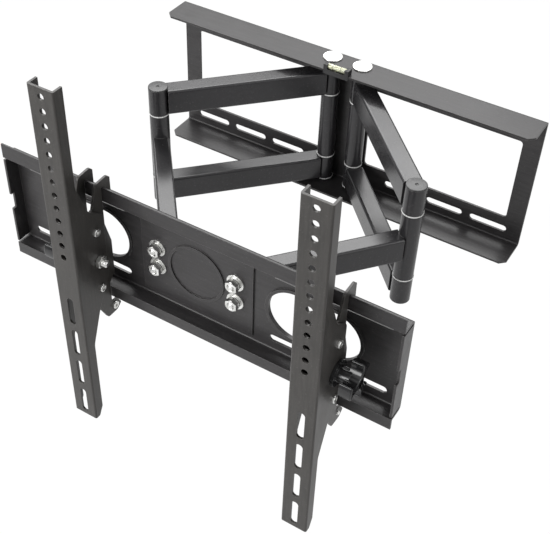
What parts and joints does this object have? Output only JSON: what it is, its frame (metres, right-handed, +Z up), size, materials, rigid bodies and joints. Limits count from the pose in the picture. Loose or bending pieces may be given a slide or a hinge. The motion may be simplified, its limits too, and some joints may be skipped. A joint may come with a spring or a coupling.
{
  "type": "tv wall mount",
  "caption": "Full-motion screen wall mount: slotted wall plate, paired folding arms, front plate and two tilting rails with a row of holes and slots.",
  "frame": {"origin": "middle of the wall plate's back face, on the wall", "axes": "+Z up, +X to the right seen from the room, -Y out into the room, +Y into the wall"},
  "size_m": [0.475, 0.3935, 0.4467],
  "materials": {
    "black_coated_steel": "satin powder coat",
    "zinc_plated_steel": "bright zinc plate",
    "white_nylon": "natural nylon",
    "black_plastic": "moulded, semi gloss",
    "vial": "clear tinted vial"
  },
  "bodies": {
    "wall_side": {"wall_plate": "black_coated_steel", "hub_sleeves": "black_coated_steel", "hub_bolts": "zinc_plated_steel", "hub_nuts": "zinc_plated_steel", "hub_spacers": "black_coated_steel", "level_cradle": "black_coated_steel", "level_vial": "vial"},
    "head": {"head_bracket": "black_coated_steel", "head_washers": "white_nylon", "left_head_pin": "zinc_plated_steel", "right_head_pin": "zinc_plated_steel", "level_bolts": "zinc_plated_steel", "level_washers": "zinc_plated_steel", "spring_washers": "zinc_plated_steel", "level_nuts": "zinc_plated_steel"},
    "front_plate": {"front_plate": "black_coated_steel"},
    "left_rear_arm": {"left_upper_rear_bar": "black_coated_steel", "left_lower_rear_bar": "black_coated_steel", "left_hub_bushes": "white_nylon", "left_hub_washers": "white_nylon", "left_elbow_pin": "zinc_plated_steel", "left_elbow_caps": "black_plastic"},
    "left_front_arm": {"left_front_arm": "black_coated_steel", "left_elbow_bushes": "white_nylon", "left_head_bush": "white_nylon"},
    "left_bracket": {"left_tilt_bracket": "black_coated_steel", "left_safety_screw": "zinc_plated_steel", "left_tilt_washers": "white_nylon", "left_lock_bolt": "zinc_plated_steel", "left_lock_nut": "zinc_plated_steel"},
    "left_rail": {"left_rail": "black_coated_steel", "left_guide_bolts": "zinc_plated_steel", "left_guide_nuts": "zinc_plated_steel"},
    "left_knob": {"left_tilt_knob": "black_plastic"},
    "right_rear_arm": {"right_upper_rear_bar": "black_coated_steel", "right_lower_rear_bar": "black_coated_steel", "right_hub_bushes": "white_nylon", "right_hub_washers": "white_nylon", "right_elbow_pin": "zinc_plated_steel", "right_elbow_caps": "black_plastic"},
    "right_front_arm": {"right_front_arm": "black_coated_steel", "right_elbow_bushes": "white_nylon", "right_head_bush": "white_nylon"},
    "right_bracket": {"right_tilt_bracket": "black_coated_steel", "right_safety_screw": "zinc_plated_steel", "right_tilt_washers": "white_nylon", "right_lock_bolt": "zinc_plated_steel", "right_lock_nut": "zinc_plated_steel"},
    "right_rail": {"right_rail": "black_coated_steel", "right_guide_bolts": "zinc_plated_steel", "right_guide_nuts": "zinc_plated_steel"},
    "right_knob": {"right_tilt_knob": "black_plastic"}
  },
  "joints": [
    {"name": "left_rear_arm_turn", "type": "hinge", "parent": "wall_side", "child": "left_rear_arm", "pos_m": [-0.0194, -0.0162, -0.002], "axis": [0, 0, 1], "range_deg": [-44, 24]},
    {"name": "left_elbow_turn", "type": "hinge", "parent": "left_rear_arm", "child": "left_front_arm", "pos_m": [-0.16145, -0.16484, -0.002], "axis": [0, 0, 1], "range_deg": [-50.96, 93.34]},
    {"name": "head_turn", "type": "hinge", "parent": "left_front_arm", "child": "head", "pos_m": [-0.0522, -0.29873, -0.002], "axis": [0, 0, 1], "range_deg": [-49.34, 26.96]},
    {"name": "right_rear_arm_turn", "type": "hinge", "parent": "wall_side", "child": "right_rear_arm", "pos_m": [0.0194, -0.0162, -0.002], "axis": [0, 0, 1], "range_deg": [-24, 44]},
    {"name": "right_elbow_turn", "type": "hinge", "parent": "right_rear_arm", "child": "right_front_arm", "pos_m": [0.16145, -0.16484, -0.002], "axis": [0, 0, 1], "range_deg": [-93.34, 50.96]},
    {"name": "screen_level_turn", "type": "hinge", "parent": "head", "child": "front_plate", "pos_m": [0, -0.32243, -0.0045], "axis": [0, 1, 0], "range_deg": [-3, 3]},
    {"name": "left_bracket_slide", "type": "slide", "parent": "front_plate", "child": "left_bracket", "axis": [1, 0, 0], "range_m": [-0.075, 0.019]},
    {"name": "left_rail_tilt", "type": "hinge", "parent": "left_bracket", "child": "left_rail", "pos_m": [-0.115, -0.35863, -0.0102], "axis": [1, 0, 0], "range_deg": [-5, 15]},
    {"name": "left_knob_turn", "type": "hinge", "parent": "left_bracket", "child": "left_knob", "pos_m": [-0.115, -0.35863, -0.0102], "axis": [1, 0, 0], "continuous": true},
    {"name": "right_bracket_slide", "type": "slide", "parent": "front_plate", "child": "right_bracket", "axis": [1, 0, 0], "range_m": [-0.071, 0.022]},
    {"name": "right_rail_tilt", "type": "hinge", "parent": "right_bracket", "child": "right_rail", "pos_m": [0.1675, -0.35863, -0.0102], "axis": [1, 0, 0], "range_deg": [-5, 15]},
    {"name": "right_knob_turn", "type": "hinge", "parent": "right_bracket", "child": "right_knob", "pos_m": [0.1675, -0.35863, -0.0102], "axis": [1, 0, 0], "continuous": true}
  ],
  "couplings": [
    {"joint": "left_elbow_turn", "follows": "left_rear_arm_turn", "ratio": -2.119},
    {"joint": "head_turn", "follows": "left_rear_arm_turn", "ratio": 1.119},
    {"joint": "right_rear_arm_turn", "follows": "left_rear_arm_turn", "ratio": -1},
    {"joint": "right_elbow_turn", "follows": "left_rear_arm_turn", "ratio": 2.119}
  ]
}
